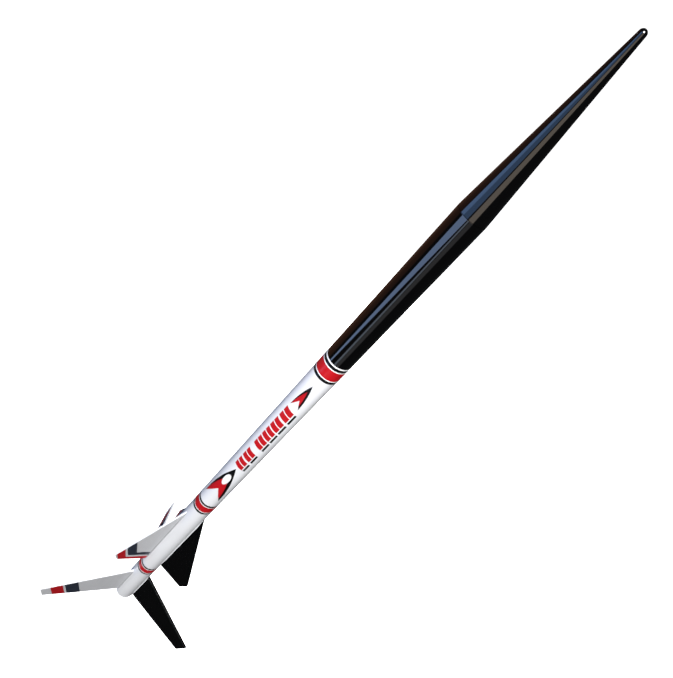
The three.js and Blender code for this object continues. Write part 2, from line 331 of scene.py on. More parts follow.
white_ink = decal_ink("white_ink", BRIGHT_WHITE)

# ---- Mesh helpers -------------------------------------------------------------------------------


def smooth(mesh):
    mesh.polygons.foreach_set("use_smooth", [True] * len(mesh.polygons))


def mesh_of(name, points, faces, looks, zones=None):
    """A mesh with its materials. zones gives each face's material, as an index into looks."""
    mesh = bpy.data.meshes.new(name)
    mesh.from_pydata([tuple(point) for point in points], [], faces)
    for look in looks:
        mesh.materials.append(look)
    if zones:
        mesh.polygons.foreach_set("material_index", zones)
    return mesh


def put(name, data):
    """An object in the scene, of a mesh, a light or a camera."""
    obj = bpy.data.objects.new(name, data)
    bpy.context.scene.collection.objects.link(obj)
    return obj


def piece(name, points, faces, body, looks, replaces=(), zones=None, sharp=30):
    """A piece of the object, with creases where its faces meet at more than the sharp angle."""
    mesh = mesh_of(name, points, faces, looks, zones)
    finish_mesh(mesh, sharp)
    obj = put(name, mesh)
    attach(obj, body)
    if replaces:
        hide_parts(*replaces)


def finish_mesh(mesh, sharp):
    """Faces out, smooth shading, and creases where faces meet at more than the sharp angle."""
    work = bmesh.new()
    work.from_mesh(mesh)
    bmesh.ops.remove_doubles(work, verts=work.verts, dist=1e-8)
    bmesh.ops.recalc_face_normals(work, faces=work.faces)
    work.to_mesh(mesh)
    work.free()
    smooth(mesh)
    mesh.set_sharp_from_angle(angle=math.radians(sharp))
    mesh.update()


def polar(radius, degrees, z):
    angle = math.radians(degrees)
    return Vector((radius * math.cos(angle), radius * math.sin(angle), z))


def rounded(outline, radius, steps=3, closed=True):
    """A flat outline with each corner turned into an arc-like curve of about that radius."""
    points = [Vector(point) for point in outline]
    result = []
    for i, corner in enumerate(points):
        if not closed and i in (0, len(points) - 1):
            result.append(corner)
            continue
        before = points[i - 1] - corner
        after = points[(i + 1) % len(points)] - corner
        reach = min(radius, before.length * 0.45, after.length * 0.45)
        start = corner + before.normalized() * reach
        end = corner + after.normalized() * reach
        for step in range(steps + 1):
            t = step / steps
            result.append(start * (1 - t) ** 2 + corner * 2 * t * (1 - t) + end * t**2)
    return result


def braced(profile, closed=True, reach=0.35 * MM):
    """Adds a point close to both ends of each long run, so that its shading stays straight."""
    result = []
    for start, end in zip(profile, profile[1:] + profile[:1] if closed else profile[1:]):
        start, end = Vector(start), Vector(end)
        length = (end - start).length
        result.append(start)
        if length > 6 * reach:
            way = (end - start) / length * reach
            result += [start + way, end - way]
    if not closed:
        result.append(Vector(profile[-1]))
    return result


def lathe_shape(profile, sides, closed=True, centre=(0, 0), bulge=None):
    """Points and faces of a profile of (radius, z) turned round an upright axis.
    An open profile starts and ends on the axis. bulge(angle, z) adds to the radius."""
    points, faces, rows = [], [], []
    for radius, z in profile:
        if radius < 1e-7:
            rows.append([len(points)] * sides)
            points.append((centre[0], centre[1], z))
            continue
        row = []
        for k in range(sides):
            angle = FULL_TURN * k / sides
            r = radius + (bulge(angle, z) if bulge else 0)
            row.append(len(points))
            points.append((centre[0] + r * math.cos(angle), centre[1] + r * math.sin(angle), z))
        rows.append(row)
    pairs = list(zip(rows, rows[1:])) + ([(rows[-1], rows[0])] if closed else [])
    for low, high in pairs:
        for k in range(sides):
            n = (k + 1) % sides
            corners = list(dict.fromkeys((low[k], low[n], high[n], high[k])))
            if len(corners) > 2:
                faces.append(corners)
    return points, faces


def bar_faces(start, rings, count):
    """Faces of a bar made of rings of points, each of so many points, with both its ends closed."""
    faces = []
    for ring in range(rings - 1):
        a = start + ring * count
        b = a + count
        faces += [(a + k, a + (k + 1) % count, b + (k + 1) % count, b + k) for k in range(count)]
    last = start + (rings - 1) * count
    return faces + [tuple(range(start, start + count)), tuple(range(last, last + count))]


def lathe(name, profile, body, slot, look, replaces=(), sides=96, soften=0.0, closed=True, **extra):
    outline = rounded(profile, soften) if soften and closed else profile
    points, faces = lathe_shape(braced(outline, closed), sides, closed, **extra)
    piece(name, points, faces, body, [look], replaces)


def ring_profile(inner, outer, low, high):
    return [(inner, low), (outer, low), (outer, high), (inner, high)]


# ---- Airframe -----------------------------------------------------------------------------------


def body_tubes():
    white, black = (white_lacquer, "white_paint"), (black_lacquer, "black_paint")
    for part, (look, slot) in {"lower": white, "middle": white, "upper": black}.items():
        node = part + "_body_tube"
        profile = ring_profile(TUBE_R - TUBE_WALL, TUBE_R, *span(node))
        lathe(part + "_tube", profile, "airframe", slot, look, [node], ROUND, soften=0.12 * MM)


def outline_of(corners):
    """Turns corners (radius, z) in mm into points."""
    return [Vector((r * MM, z * MM)) for r, z in corners]


def fin_points(shape):
    """The fin's corners as (radius, z), from the root's trailing end round to its leading end."""
    root = TUBE_R / MM - 0.05
    return outline_of([
        (root, shape["root_trail"]),
        (shape["trail_r"], shape["tip_trail"]),
        (shape["lead_r"], shape["tip_lead"]),
        (root, shape["root_lead"]),
    ])


def inset_edges(corners, distance):
    """The fin's outline with its three free edges moved inwards, and its root edge kept."""
    root_r = corners[0].x
    sides = []
    for start, end in zip(corners[:3], corners[1:]):
        along = (end - start).normalized()
        inwards = Vector((-along.y, along.x))
        sides.append((start + inwards * distance, along))

    def meet(first, second):
        (p, d), (q, e) = first, second
        t = ((q.x - p.x) * e.y - (q.y - p.y) * e.x) / (d.x * e.y - d.y * e.x)
        return p + d * t

    root = (Vector((root_r, 0)), Vector((0, 1)))
    return [meet(root, sides[0]), meet(sides[0], sides[1]), meet(sides[1], sides[2]), meet(sides[2], root)]


def fin_frame(angle):
    """Takes (radius, z, sideways) of a fin at that angle to a point of the rocket."""
    turn = math.radians(angle)
    out = Vector((math.cos(turn), math.sin(turn), 0))
    side = Vector((-math.sin(turn), math.cos(turn), 0))
    return lambda r, z, s: out * r + side * s + Vector((0, 0, z))


def fin_layers():
    """The outlines of a fin from face to face, each as (how far its edges move in, sideways)."""
    half, edge, steps = FIN_THICKNESS / 2, FIN_EDGE, 4
    layers = [(edge * 1.6, half)]  # a ring on the flat face keeps its shading flat
    for i in range(steps + 1):
        turn = QUARTER_TURN * i / steps
        layers.append((edge * (1 - math.sin(turn)), half - edge * (1 - math.cos(turn))))
    return layers + [(inset, -s) for inset, s in reversed(layers)]


def fin(name, shape, angle, looks, node):
    """A sheet with rounded free edges: looks holds its faces' material and its edges'."""
    place = fin_frame(angle)
    corners = fin_points(shape)
    layers = fin_layers()
    points = [place(p.x, p.y, s) for inset, s in layers for p in inset_edges(corners, inset)]
    steps = len(layers) - 1
    zones = []
    for step in range(steps):
        zones += [0 if step in (0, steps - 1) else 1] * 4
    zones += [0, 0]
    faces = bar_faces(0, len(layers), 4)
    piece(name, points, faces, "airframe", looks, [node], zones=zones, sharp=25)


def glue_section(size, steps=6):
    """One side of a root's glue line, as (radius, sideways): hollow outside, and sunk into the corner."""
    half = FIN_THICKNESS / 2
    foot = half + size  # how far round the tube the glue reaches
    foot_r = math.sqrt(TUBE_R**2 - foot**2)
    top_r = math.sqrt(TUBE_R**2 - half**2) + size
    section = []
    for k in range(steps + 1):
        turn = QUARTER_TURN * k / steps
        section.append((top_r - (top_r - foot_r) * math.cos(turn), foot - (foot - half) * math.sin(turn)))
    sunk = 0.3 * MM
    return section + [(TUBE_R - sunk, half - sunk)]


def fillets(name, shape, angle, look):
    """The concave line of glue along both sides of a fin's root. It tapers off at its ends."""
    place = fin_frame(angle)
    stations, margin, full_size = 24, 0.6, 1.4 * MM
    length = shape["root_lead"] - shape["root_trail"] - 2 * margin
    points, faces = [], []
    for side in (1, -1):
        start = len(points)
        for i in range(stations + 1):
            share = i / stations
            z = (shape["root_trail"] + margin + length * share) * MM
            section = glue_section(full_size * min(1.0, 0.3 + 6 * min(share, 1 - share)))
            points += [place(r, z, side * s) for r, s in section]
        faces += bar_faces(start, stations + 1, len(section))
    piece(name, points, faces, "airframe", [look], sharp=40)


def fins():
    for kind, shape in (("aft", AFT_FIN), ("forward", FORWARD_FIN)):
        for i, angle in enumerate(FIN_ANGLES):
            black = i == 0
            node = f"{kind}_fin_{i + 1}"
            # White fins: painted shade on the faces, painted light on their edges.
            looks = [black_balsa, black_balsa] if black else [shaded_white_balsa, lit_white_edge]
            fin(f"{kind}_fin_panel_{i + 1}", shape, angle, looks, node)
            # The tube is white under every fin. Beside the white fins the glue line is left unpolished and
            # painted grey: painted shade in the corner between fin and tube.
            glue = white_lacquer if black else painted_shade_lacquer
            fillets(f"{kind}_fin_fillet_{i + 1}", shape, angle, glue)


def lug_glue(part, low, high):
    """A line of glue along both sides of a launch lug. It tapers off at its ends."""
    place = fin_frame(LUG_ANGLE)
    stations, margin, full_foot = 16, 0.4 * MM, 2.6 * MM
    points, faces = [], []
    for side in (1, -1):
        start = len(points)
        for i in range(stations + 1):
            share = i / stations
            z = low + margin + (high - low - 2 * margin) * share
            size = min(1.0, 0.3 + 5 * min(share, 1 - share))
            foot = full_foot * size
            section = [
                (0.1 * MM, TUBE_R - 0.2 * MM),
                (foot, math.sqrt(TUBE_R**2 - foot**2)),
                (foot * 0.85, TUBE_R + 0.25 * MM * size),
                (foot * 0.80, TUBE_R + 1.0 * MM * size + 0.3 * MM),
                (0.1 * MM, TUBE_R + 0.3 * MM),
            ]
            points += [place(r, z, side * s) for s, r in section]
        faces += bar_faces(start, stations + 1, len(section))
    name = f"launch_lug_glue_{part}"
    piece(name, points, faces, "airframe", [white_lacquer], sharp=60)


def launch_lugs():
    for part in ("aft", "forward"):
        node = "launch_lug_" + part
        low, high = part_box(node)
        centre = ((low.x + high.x) / 2, (low.y + high.y) / 2)
        profile = ring_profile(LUG_BORE_R, LUG_R, low.z, high.z)
        lathe(f"launch_lug_tube_{part}", profile, "airframe", "white_paint", white_lacquer, [node], 48,
              soften=0.1 * MM, centre=centre)
        lug_glue(part, low.z, high.z)


# ---- Decals -------------------------------------------------------------------------------------

LIFT = 0.06 * MM  # how far the film stands off the paint
FILM = 0.05 * MM  # how thick it is
UNCUT = 1.0  # a cell wider than any decal, since the film needs no cuts on a flat face


def flat_patch(outline, cell):
    """A triangulated flat outline, cut into cells that are at most so wide across x."""
    points = [Vector((x, y, 0)) for x, y in outline]
    work = bmesh.new()
    verts = [work.verts.new(point) for point in points]
    for a, b, c in tessellate_polygon([points]):
        work.faces.new((verts[a], verts[b], verts[c]))
    low = min(point.x for point in points)
    high = max(point.x for point in points)
    count = max(1, math.ceil((high - low) / cell))
    for i in range(1, count):
        x = low + (high - low) * i / count
        every = work.verts[:] + work.edges[:] + work.faces[:]
        bmesh.ops.bisect_plane(work, geom=every, plane_co=(x, 0, 0), plane_no=(1, 0, 0), dist=1e-9)
    work.verts.index_update()
    flat = [vert.co.copy() for vert in work.verts]
    faces = [[vert.index for vert in face.verts] for face in work.faces]
    work.free()
    return flat, faces


def film(name, outline, place, look, layer=0, cell=1.0 * MM):
    """A thin piece of decal film. place(x, y, lift) takes the flat outline to the object."""
    flat, faces = flat_patch(outline, cell)
    low = LIFT + layer * 2 * FILM
    count = len(flat)
    points = [place(p.x, p.y, low + FILM) for p in flat] + [place(p.x, p.y, low) for p in flat]
    edges = dict.fromkeys((a, b) for face in faces for a, b in zip(face, face[1:] + face[:1]))
    all_faces = faces + [[v + count for v in reversed(face)] for face in faces]
    all_faces += [[b, a, a + count, b + count] for a, b in edges if (b, a) not in edges]
    piece(name, points, all_faces, "airframe", [look], sharp=50)


def on_tube(x, y, lift):
    """x runs round the tube from the middle of the decals, and y is the height z."""
    return polar(TUBE_R + lift, DECAL_ANGLE + math.degrees(x / TUBE_R), y)


def wrap_band(name, low, high, top_white=0.0):
    """A band right round the tube: black line, white gap, broad red, white gap, black line."""
    line, gap = 4.4 * MM, 1.7 * MM
    black, white, red = range(3)
    cuts = [low, low + line, low + line + gap, high - line - gap, high - line, high]
    inks = [black, white, red, white, black]
    if top_white:
        cuts.append(high + top_white)
        inks.append(white)
    inner = TUBE_R + LIFT
    outer = inner + FILM
    profile = [(inner, cuts[0])] + [(outer, z) for z in cuts] + [(inner, cuts[-1])]
    points, faces = lathe_shape(profile, ROUND)
    zones = []
    for ink in [inks[0], *inks, inks[-1], white]:
        zones += [ink] * ROUND
    looks = [black_ink, white_ink, red_ink]
    piece(name, points, faces, "airframe", looks, zones=zones, sharp=50)


def arch(half_width, base, tip, steps=16, power=2.1):
    """One side of a pointed arch, from its foot up to its tip, as (x, y) points."""
    side = []
    for i in range(steps + 1):
        t = i / steps
        side.append((half_width * (1 - t**power), base + (tip - base) * t))
    return side


def whole(left, right):
    """A whole outline from both its sides as they are on the right: up the right, and down the left."""
    return right + [(-x, y) for x, y in reversed(left[:-1])]


def arrowhead(name, half_width, base, tip, notch, head, rims):
    """A swept arrowhead: a black one below, and a red one on it that leaves its tip and two rims black.
    rims holds the widths of the left and the right rim."""
    edge = arch(half_width, base, tip)
    film(name + "_edge", whole(edge, edge) + [(0, notch)], on_tube, black_ink)
    sides = []
    for rim in rims:
        foot = base + rim * (notch - base) / half_width
        sides.append(arch(half_width - rim, foot, head, power=1.75))
    film(name + "_body", whole(*sides) + [(0, notch)], on_tube, red_ink, layer=1)


def slanted_block(x_low, x_high, y_low, y_high, lean):
    """A parallelogram that leans along the tube as it goes round it."""
    return [(x_low, y_low), (x_high, y_low - lean), (x_high, y_high - lean), (x_low, y_high)]


def block_row():
    """Two groups of slanted red blocks, each split by a slit and underlined in black."""
    low, high, lean, slit = -7.4 * MM, 6.6 * MM, 3.2 * MM, 1.8 * MM
    blocks = [(506, 525), (529, 549), (562, 582), (584.5, 604), (606.5, 627), (631, 652)]
    for i, (start, end) in enumerate(blocks):
        first, last = start * MM + lean, end * MM + lean
        middle = (first + last) / 2
        lower = slanted_block(low, high, first, middle - slit / 2, lean)
        upper = slanted_block(low, high, middle + slit / 2, last, lean)
        film(f"block_{i + 1}a", lower, on_tube, red_ink)
        film(f"block_{i + 1}b", upper, on_tube, red_ink)
        line = slanted_block(8.2 * MM, 11.2 * MM, first - 3.5 * MM, last - 4.5 * MM, 0.4 * MM)
        film(f"underline_{i + 1}", line, on_tube, black_ink)


def oval(centre, half_x, half_y, steps=28):
    turns = [FULL_TURN * i / steps for i in range(steps)]
    return [(half_x * math.cos(t), centre + half_y * math.sin(t)) for t in turns]


def parallel_strip(corners, outer, inner):
    """A strip across a fin, parallel to its tip, between two distances along the leading edge."""
    root_trail, tip_trail, tip_lead, root_lead = corners
    tip_way = tip_trail - tip_lead
    trail_way = root_trail - tip_trail
    lead_way = (root_lead - tip_lead).normalized()

    def ends(distance):
        lead = tip_lead + lead_way * distance
        share = (tip_trail - lead).cross(trail_way) / tip_way.cross(trail_way)
        return lead, lead + tip_way * share

    (lead_1, trail_1), (lead_2, trail_2) = ends(outer), ends(inner)
    return [trail_1, lead_1, lead_2, trail_2]


def fin_decals():
    """Blocks on both faces of the white fins."""
    root = TUBE_R / MM + 0.6
    red_corner = outline_of(
        [(root, 156.7), (63.9, 168.2), (71.9, 191.3), (64.7, 210.2), (53.8, 174.1), (root, 168.5)]
    )
    chevron = outline_of(
        [(root, 173), (52.7, 181.2), (63.1, 214.5), (55.1, 236), (41.3, 189.7), (root, 185)]
    )
    aft = inset_edges(fin_points(AFT_FIN), FIN_EDGE)
    aft_red = parallel_strip(aft, 13.9 * MM, 31.5 * MM)
    aft_navy = parallel_strip(aft, 34.5 * MM, 54 * MM)
    blocks = [
        ("aft_fin_red", aft_red, red_ink),
        ("aft_fin_navy", aft_navy, navy_ink),
        ("forward_fin_red", red_corner, red_ink),
        ("forward_fin_navy", chevron, navy_ink),
    ]
    for i in (1, 2):
        place_fin = fin_frame(FIN_ANGLES[i])
        for side, mark in ((1, "a"), (-1, "b")):

            def on_face(x, y, lift, place_fin=place_fin, side=side):
                return place_fin(x, y, side * (FIN_THICKNESS / 2 + lift - 0.02 * MM))

            for name, outline, ink in blocks:
                film(f"{name}_{i + 1}{mark}", outline, on_face, ink, cell=UNCUT)


def decals():
    wrap_band("band_low", 117.8 * MM, 142.4 * MM)
    wrap_band("band_middle", 366.6 * MM, 393.8 * MM)
    wrap_band("band_top", 721.7 * MM, 749.6 * MM, top_white=2.2 * MM)
    arrowhead("large_arrow", 14.2 * MM, 413 * MM, 502 * MM, 444 * MM, 480 * MM, (0.8 * MM, 3.4 * MM))
    eye = oval(471 * MM, 4.7 * MM, 13.6 * MM)
    film("large_arrow_oval", eye, on_tube, white_ink, layer=2)
    block_row()
    arrowhead("small_arrow", 6.3 * MM, 661 * MM, 707 * MM, 676 * MM, 695 * MM, (0.7 * MM, 2.6 * MM))
    fin_decals()


# ---- Nose ---------------------------------------------------------------------------------------


def nose_profile():
    """From the inside of the tip down the hollow, round the shoulder and up the outside."""
    tip_r = 3.6 * MM
    centre = NOSE_TIP - tip_r
    height = centre - BODY_TOP
    slope = math.atan2(TUBE_R, height) - math.asin(tip_r / math.hypot(TUBE_R, height))
    tip = []
    for i in range(11):
        turn = slope + (QUARTER_TURN - slope) * i / 10
        tip.append((tip_r * math.cos(turn), centre + tip_r * math.sin(turn)))
    tip[-1] = (0, NOSE_TIP)
    hollow_top = NOSE_TIP - NOSE_WALL
    hollow = [(0, hollow_top), (1.6 * MM, hollow_top - 0.8 * MM), (2.2 * MM, centre)]
    shoulder_end = span("nose_cone")[0]
    inner_r = SHOULDER_R - NOSE_WALL
    base = BODY_TOP + 0.25 * MM
    shoulder = [
        (inner_r, base + 1.4 * MM),
        (inner_r, shoulder_end + 0.3 * MM),
        (inner_r + 0.3 * MM, shoulder_end),
        (SHOULDER_R - 0.5 * MM, shoulder_end),
        (SHOULDER_R, shoulder_end + 0.6 * MM),
        (SHOULDER_R, base - 0.35 * MM),
        (SHOULDER_R + 0.1 * MM, base - 0.05 * MM),
        (TUBE_R - 0.25 * MM, base),
        (TUBE_R - 0.03 * MM, base + 0.15 * MM),
    ]
    tip_foot_r, tip_foot_z = tip[0]
    cone, steps = [], 12
    for i in range(1, steps):
        cone.append((TUBE_R - (TUBE_R - tip_foot_r) * i / steps, base + (tip_foot_z - base) * i / steps))
    return hollow + shoulder + cone + tip


def mould_line(angle, z):
    """A hair-high ridge on two opposite sides, left by the mould."""
    height, half_width, seam = 0.05 * MM, 0.045, math.radians(55)
    off = abs(math.sin(angle - seam))
    return height * max(0.0, 1 - off / half_width)


def nose():
    points, faces = lathe_shape(braced(nose_profile(), closed=False), 192, closed=False, bulge=mould_line)
    piece("nose_shell", points, faces, "nose", [black_plastic], ["nose_cone"])


def end_cap_profile(bottom, top, rim):
    """The cup that closes the shoulder: a disc below, and a wall that plugs into the hollow."""
    plug = SHOULDER_R - NOSE_WALL - 0.15 * MM
    return [
        (0, bottom),
        (SHOULDER_R - 0.6 * MM, bottom),
        (SHOULDER_R, bottom + 0.5 * MM),
        (SHOULDER_R, top),
        (plug, top),
        (plug, rim - 0.4 * MM),
        (plug - 0.4 * MM, rim),
        (plug - NOSE_WALL, rim),
        (plug - NOSE_WALL, top),
        (0, top),
    ]


def eyelet(bottom, sides, wire=1.2 * MM, inner=3.2 * MM, leg=4 * MM):
    """Rings of points along a round-wire loop under the end cap. It flares where it enters the cap."""
    middle = inner + wire
    bend = bottom - leg
    flare_end = bottom - 1.2 * MM
    root = bottom + 0.8 * MM
    path = [(middle, root), (middle, flare_end), (middle, bend)]
    for i in range(1, 16):
        turn = math.pi * i / 16
        path.append((middle * math.cos(turn), bend - middle * math.sin(turn)))
    path += [(-middle, bend), (-middle, flare_end), (-middle, root)]
    path = [Vector((x, 0, z)) for x, z in path]
    rings = []
    across = Vector((0, 1, 0))
    for i, point in enumerate(path):
        before, after = path[max(i - 1, 0)], path[min(i + 1, len(path) - 1)]
        other = (after - before).normalized().cross(across)
        radius = wire * (1.45 if i in (0, len(path) - 1) else 1.0)
        for k in range(sides):
            turn = FULL_TURN * k / sides
            rings.append(point + (across * math.cos(turn) + other * math.sin(turn)) * radius)
    return rings


def nose_base():
    """The shoulder's end cap, with the eyelet for the shock cord in one piece with it."""
    rim = span("nose_cone_base")[1]
    top = span("nose_cone")[0] - 0.25 * MM
    bottom = top - 2 * MM
    profile = braced(end_cap_profile(bottom, top, rim), closed=False)
    points, faces = lathe_shape(profile, 96, closed=False)
    sides = 16
    loop = eyelet(bottom, sides)
    faces += bar_faces(len(points), len(loop) // sides, sides)
    points += loop
    piece("nose_end_cap", points, faces, "nose", [black_plastic], ["nose_cone_base"])


# ---- Engine and its mount -----------------------------------------------------------------------

CASE_BORE_R = 9.5 * MM
FILLING_R = CASE_BORE_R - 0.1 * MM  # the nozzle and the end cap just fit inside the case


def engine_case():
    """A thick paper tube with a broad printed band round it."""
    low, high = span("engine_casing")
    outer = radius_of("engine_casing")
    bare = 16 * MM  # the band stops this far from both ends
    sides = 96
    profile = rounded(ring_profile(CASE_BORE_R, outer, low, high), 0.5 * MM)
    band = next(i for i, (r, z) in enumerate(profile) if r > outer - 1e-9 and z > low + bare)
    profile[band:band] = [(outer, low + bare), (outer, high - bare)]
    points, faces = lathe_shape(profile, sides)
    zones = []
    for i in range(len(profile)):
        zones += [1 if i == band else 0] * sides
    piece("engine_case", points, faces, "engine", [casing_paper, casing_band],
          ["engine_casing"], zones=zones)


def engine_nozzle():
    """Pressed clay with a throat that opens smoothly towards the tail."""
    low, high = span("engine_nozzle")
    exit_r, throat_r, depth, chamfer, steps = 4.6 * MM, 1.8 * MM, 6.5 * MM, 0.5 * MM, 8
    profile = []
    for i in range(steps, -1, -1):
        share = i / steps
        narrowing = math.sin(share * QUARTER_TURN) ** 1.2
        profile.append((exit_r - (exit_r - throat_r) * narrowing, low + depth * share))
    profile += [(FILLING_R - chamfer, low), (FILLING_R, low + chamfer), (FILLING_R, high), (throat_r, high)]
    lathe("nozzle", profile, "engine", "clay", clay, ["engine_nozzle"], 64)


def engine_end_cap():
    """A clay plug with a slightly dished face."""
    low, high = span("engine_end_cap")
    dish, chamfer, steps = 0.35 * MM, 0.5 * MM, 6
    profile = [(0, low), (FILLING_R, low), (FILLING_R, high - chamfer)]
    profile.append((FILLING_R - chamfer, high - 0.1 * MM))
    for i in range(steps - 1, 0, -1):
        share = i / steps
        profile.append((FILLING_R * share, high - dish * (1 - share**2)))
    profile.append((0, high - dish))
    lathe("end_cap", profile, "engine", "clay", clay, ["engine_end_cap"], 64, closed=False)


def hook():
    """A steel strip with bent tabs, its corners rounded as a press leaves them."""
    top_tab_r, spine_r, claw_r, claw_end_r = 10.8, 13.0, 10.0, 11.0  # in mm, as are the heights
    top, claw, claw_end = 71.3, -0.1, -3.6
    path = [(top_tab_r, top), (spine_r, top), (spine_r, claw), (claw_r, claw), (claw_end_r, claw_end)]
    centre = rounded(outline_of(path), 0.7 * MM, steps=5, closed=False)
    half_t, half_w = 0.3 * MM, 1.6 * MM
    section = [(-half_w, -half_t), (half_w, -half_t), (half_w, half_t), (-half_w, half_t)]
    ring = rounded(section, 0.12 * MM, steps=2)
    place = fin_frame(HOOK_ANGLE)
    points = []
    for i, point in enumerate(centre):
        before, after = centre[max(i - 1, 0)], centre[min(i + 1, len(centre) - 1)]
        along = (after - before).normalized()
        across = Vector((-along.y, along.x))
        narrow = 0.7 if i in (0, len(centre) - 1) else 1.0
        for side, lift in ring:
            at = point + across * lift
            points.append(place(at.x, at.y, side * narrow))
    faces = bar_faces(0, len(centre), len(ring))
    piece("hook_strip", points, faces, "hook", [hook_steel], ["engine_hook"])


def dress_cad_nodes():
    """Materials for the CAD nodes that are shown as they are."""
    looks = {
        "tube_coupler_lower": brown_paper,
        "tube_coupler_upper": brown_paper,
        "engine_mount_tube": brown_paper,
        "centering_ring_aft": grey_board,
        "centering_ring_forward": grey_board,
        "hook_retaining_ring": grey_board,
        "engine_block": grey_board,
        "engine_propellant": black_powder,
        "engine_delay": delay_powder,
        "engine_ejection_charge": black_powder,
    }
    for node, look in looks.items():
        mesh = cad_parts[node].data
        mesh.materials.clear()
        mesh.materials.append(look)


# ---- Recovery gear ------------------------------------------------------------------------------


def folded_strip(heights=6, layers=3):
    """The canopy's cross-section once it is folded: (share of the height, layer) from edge to edge."""
    folds = []
    for layer in range(layers):
        order = range(heights + 1) if layer % 2 == 0 else range(heights, -1, -1)
        folds += [(h / heights, layer) for h in order]
    return folds


def rolled_point(angle, base, share, layer, low, high):
    """A point of the roll, with the film's slack in it and uneven edges."""
    z = low + (high - low) * (0.02 + 0.96 * share)
    wave = noise.noise(Vector((angle * 0.9, share * 3.1, layer * 5.0)))
    ripple = noise.noise(Vector((angle * 3.3, share * 1.3, layer * 9.0)))
    edge = 1.5 * MM * noise.noise(Vector((angle * 1.7, layer * 3.0, 7.0)))
    radius = base - layer * 0.26 * MM + (0.10 * wave + 0.06 * ripple) * MM
    shift = edge if share in (0.0, 1.0) else 0.0
    return radius * math.cos(angle), radius * math.sin(angle), z + shift


def parachute():
    """The canopy, folded in three lengthways and rolled up: one sheet that winds outwards."""
    low, high = span("parachute")
    outer = radius_of("parachute") - 0.25 * MM
    start, pitch, panels = 1.6 * MM, 0.92 * MM, 24
    turns = (outer - start) / pitch
    steps = int(turns * 40)
    folds = folded_strip()
    points, faces, zones = [], [], []
    for i in range(steps + 1):
        angle = FULL_TURN * turns * i / steps
        base = start + pitch * angle / FULL_TURN
        points += [rolled_point(angle, base, share, layer, low, high) for share, layer in folds]
    row = len(folds)
    for i in range(steps):
        for k in range(row - 1):
            a, b = i * row + k, (i + 1) * row + k
            faces.append((a, a + 1, b + 1, b))
            zones.append((i * panels // steps) % 2)
    mesh = mesh_of("packed_parachute", points, faces, [red_film, white_film], zones)
    smooth(mesh)
    obj = put("packed_parachute", mesh)
    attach(obj, "nose")
    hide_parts("parachute")


def wadding():
    """A plug of crumpled tissue that fills the tube: a closed form with sharp random creases."""
    low, high = span("recovery_wadding")
    outer = radius_of("recovery_wadding") - 0.2 * MM
    work = bmesh.new()
    bmesh.ops.create_icosphere(work, subdivisions=5, radius=1.0)
    middle, half = (low + high) / 2, (high - low) / 2
    for vert in work.verts:
        way = vert.co.normalized()
        # A super-ellipsoid fills the tube better than a ball does.
        flat = (abs(way.x) ** 2 + abs(way.y) ** 2) ** 0.5
        size = 1 / (flat**4 + abs(way.z) ** 4) ** 0.25
        crease = 0
        for scale, depth in ((3.1, 0.5), (7.3, 0.3), (15.0, 0.15)):
            crease += abs(noise.noise(way * scale)) * depth
        size *= 1 - min(0.3, crease * 0.45)
        vert.co = Vector((way.x * size * outer, way.y * size * outer, middle + way.z * size * half))
    mesh = bpy.data.meshes.new("recovery_wadding_plug")
    work.to_mesh(mesh)
    work.free()
    mesh.materials.append(cream_tissue)
    finish_mesh(mesh, 60)
    obj = put("recovery_wadding_plug", mesh)
    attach(obj, "airframe")
    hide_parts("recovery_wadding")


def cord_anchor():
    """Three folds of paper glued flat against the tube's inside, each fold a little smaller."""
    low, high = span("shock_cord_anchor")
    outer = TUBE_R - TUBE_WALL - 0.12 * MM
    paper, pitch, across = 0.3 * MM, 0.34 * MM, 20
    points, faces = [], []
    for layer in range(3):
        spread = 36 - 2.5 * layer
        bottom, top = low + (0.5 + 1.2 * layer) * MM, high - (0.5 + 0.8 * layer) * MM
        far = outer - layer * pitch
        near = far - paper
        faces += bar_faces(len(points), across + 1, 4)
        for i in range(across + 1):
            angle = LUG_ANGLE - spread + 2 * spread * i / across
            corners = [(far, bottom), (near, bottom + 0.15 * MM), (near, top - 0.15 * MM), (far, top)]
            points += [polar(r, angle, z) for r, z in corners]
    piece("cord_anchor_folds", points, faces, "airframe", [anchor_paper], ["shock_cord_anchor"])


# ---- Camera, studio and light -------------------------------------------------------------------

CAMERA_PLACE = (0.4642, 0.0992, 1.1384)
CAMERA_AZIMUTH, CAMERA_ELEVATION, CAMERA_ROLL = -167.70, -31.755, -42.85  # where it looks, in degrees
CAMERA_LENS = 28.446  # mm, on a 36 mm sensor
CAMERA_SHIFT = (-0.0737, -0.0494)
FLOOR_Z = -0.45


def camera():
    data = bpy.data.cameras.new("camera")
    data.lens = CAMERA_LENS
    data.sensor_width = 36
    data.shift_x, data.shift_y = CAMERA_SHIFT
    data.clip_start, data.clip_end = 0.01, 100
    obj = put("camera", data)
    elevation = math.radians(CAMERA_ELEVATION)
    forward = polar(math.cos(elevation), CAMERA_AZIMUTH, math.sin(elevation))
    level = forward.to_track_quat("-Z", "Y").to_matrix().to_4x4()
    roll = Matrix.Rotation(math.radians(CAMERA_ROLL), 4, forward)
    obj.matrix_world = Matrix.Translation(CAMERA_PLACE) @ roll @ level
    bpy.context.scene.camera = obj


